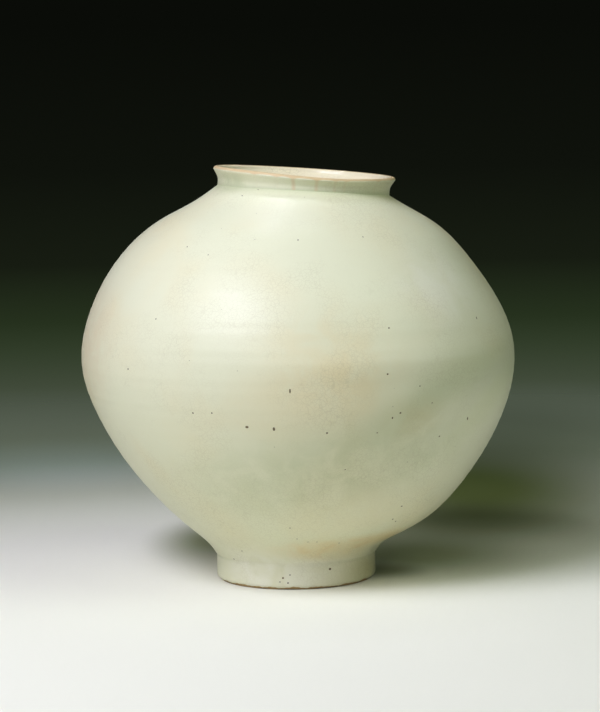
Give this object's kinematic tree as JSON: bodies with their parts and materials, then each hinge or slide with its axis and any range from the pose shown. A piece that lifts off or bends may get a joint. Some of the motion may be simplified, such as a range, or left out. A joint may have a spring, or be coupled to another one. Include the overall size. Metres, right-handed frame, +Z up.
{
  "type": "korean moon jar",
  "caption": "Large round white porcelain jar with a low flared mouth and a low foot, built from two bowls joined at the belly.",
  "frame": {"origin": "centre of the foot's standing face", "axes": "+Z up, +X to the right of the jar's front, +Y from its front to its back"},
  "size_m": [0.4389, 0.439, 0.4203],
  "materials": {
    "porcelain_clay": "matt, fired, bare",
    "slip": "matt, fired, fine-grained",
    "glaze": "glossy, faintly green white, crazed"
  },
  "bodies": {
    "root": {"lower_bowl": "porcelain_clay", "upper_bowl": "porcelain_clay", "belly_slip": "slip", "mouth_collar": "porcelain_clay", "collar_slip": "slip", "foot_ring": "porcelain_clay", "foot_slip": "slip", "outer_glaze": "glaze", "inner_glaze": "glaze", "base_glaze": "glaze"}
  },
  "joints": []
}
